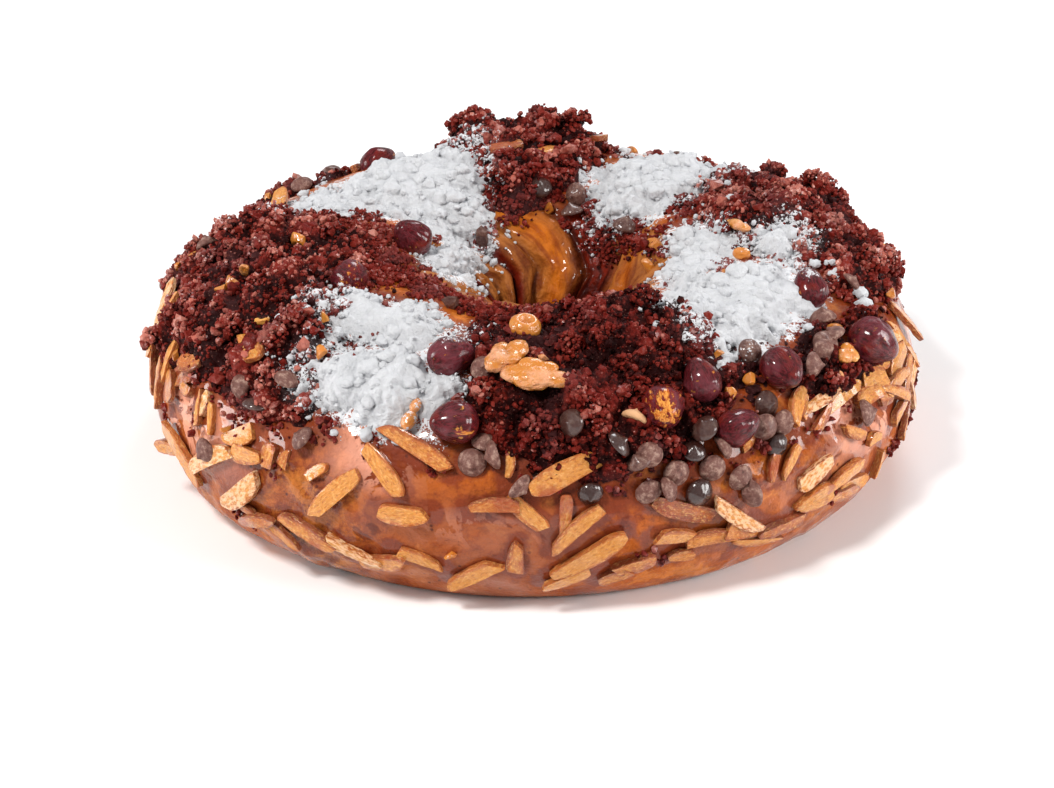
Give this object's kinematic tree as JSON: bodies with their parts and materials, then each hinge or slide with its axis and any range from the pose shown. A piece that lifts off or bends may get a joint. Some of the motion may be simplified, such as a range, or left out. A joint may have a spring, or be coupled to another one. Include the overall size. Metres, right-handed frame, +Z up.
{
  "type": "roscon de reyes",
  "caption": "Ring of glazed sweet bread heaped with chocolate crumb and icing sugar, set with hazelnuts, caramelised nuts and toasted almond slivers.",
  "frame": {"origin": "middle of the whole part's box, on the level that the bread rests on", "axes": "+Z up through the ring's hole, -Y towards the front, where the bare glazed crust shows most, +X to the right seen from there"},
  "size_m": [0.2582, 0.2629, 0.0831],
  "materials": {
    "bread": "browned crust under a thin syrup glaze",
    "crumb": "dry dark chocolate crumb",
    "sugar": "clumped white icing sugar",
    "hazelnut": "ridged dark red-brown skin, lightly glazed",
    "caramel_nut": "caramelised, glossy in places",
    "almond": "toasted, with a little syrup"
  },
  "bodies": {
    "root": {"almond_01": "almond", "almond_02": "almond", "almond_03": "almond", "almond_04": "almond", "almond_05": "almond", "almond_06": "almond", "almond_07": "almond", "almond_08": "almond", "almond_09": "almond", "almond_10": "almond", "almond_11": "almond", "almond_12": "almond", "almond_13": "almond", "almond_14": "almond", "almond_15": "almond", "almond_16": "almond", "almond_17": "almond", "almond_18": "almond", "almond_19": "almond", "almond_20": "almond", "almond_21": "almond", "bread": "bread", "caramel_nut_1": "caramel_nut", "caramel_nut_2": "caramel_nut", "caramel_nut_3": "caramel_nut", "caramel_nut_4": "caramel_nut", "caramel_nut_5": "caramel_nut", "caramel_nut_6": "caramel_nut", "crumbs_back": "crumb", "crumbs_far_left": "crumb", "crumbs_far_right": "crumb", "crumbs_front": "crumb", "crumbs_left": "crumb", "crumbs_nook": "crumb", "crumbs_right": "crumb", "hazelnut_01": "hazelnut", "hazelnut_02": "hazelnut", "hazelnut_03": "hazelnut", "hazelnut_04": "hazelnut", "hazelnut_05": "hazelnut", "hazelnut_06": "hazelnut", "hazelnut_07": "hazelnut", "hazelnut_08": "hazelnut", "hazelnut_09": "hazelnut", "hazelnut_10": "hazelnut", "hazelnut_11": "hazelnut", "hazelnut_12": "hazelnut", "hazelnut_13": "hazelnut", "hazelnut_14": "hazelnut", "hazelnut_15": "hazelnut", "hazelnut_16": "hazelnut", "sugar_back_left": "sugar", "sugar_back_right": "sugar", "sugar_far_left": "sugar", "sugar_front_left": "sugar", "sugar_front_right": "sugar", "sugar_funnel": "sugar", "sugar_knob": "sugar", "sugar_left": "sugar", "sugar_right": "sugar"}
  },
  "joints": []
}
